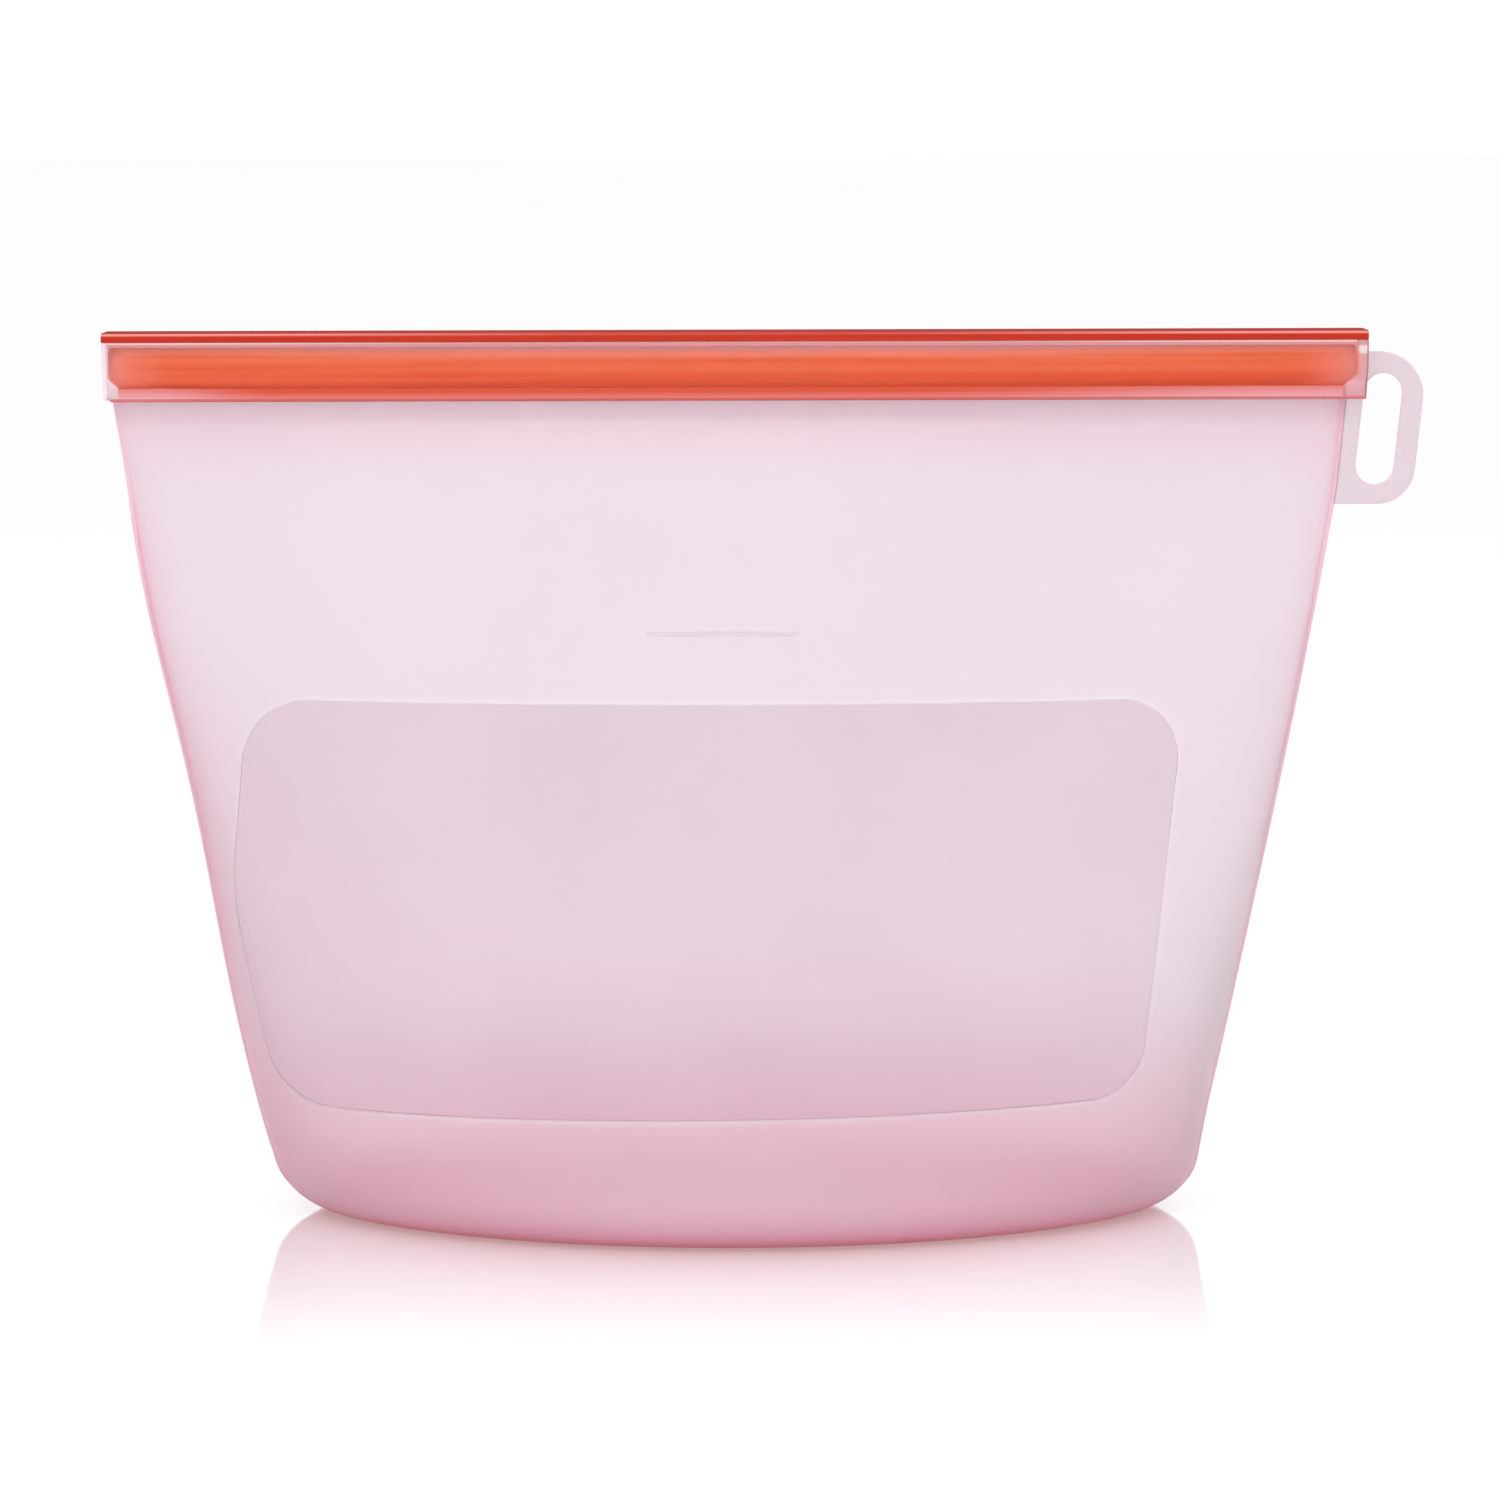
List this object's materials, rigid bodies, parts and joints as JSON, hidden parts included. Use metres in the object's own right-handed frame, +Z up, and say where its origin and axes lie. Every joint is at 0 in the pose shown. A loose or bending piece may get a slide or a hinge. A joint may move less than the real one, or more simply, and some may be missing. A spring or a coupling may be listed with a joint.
{
  "type": "reusable silicone bag",
  "caption": "Translucent silicone stand-up food bag with a clear front window, an oval base, a hang loop and a rigid slide bar that clamps its mouth beads shut.",
  "frame": {"origin": "centre of the flat oval base, on the surface that the bag stands on", "axes": "+X along the mouth towards the hang loop, +Y from the window side to the back, +Z up from the base to the slide bar"},
  "size_m": [0.3145, 0.1132, 0.2123],
  "materials": {
    "frosted_silicone": "frosted translucent pink silicone, satin",
    "clear_silicone": "clear glossy pink silicone",
    "bead_silicone": "thick orange-red silicone, soft gloss",
    "clear_plastic": "clear rigid plastic with a faint pink tint, polished",
    "red_plastic": "deep orange-red transparent plastic, polished"
  },
  "bodies": {
    "pouch": {"front_wall": "frosted_silicone", "window_panel": "clear_silicone", "back_wall": "frosted_silicone", "base": "frosted_silicone", "left_seam": "frosted_silicone", "right_seam": "frosted_silicone", "fill_mark": "frosted_silicone", "front_bead": "bead_silicone", "back_bead": "bead_silicone", "hang_loop": "frosted_silicone"},
    "slide_bar": {"bar_channel": "clear_plastic", "bar_spine": "red_plastic", "bar_end_stop": "clear_plastic"}
  },
  "joints": [
    {"name": "bar_slide", "type": "slide", "parent": "pouch", "child": "slide_bar", "axis": [-1, 0, 0], "range_m": [0, 0.3]}
  ]
}
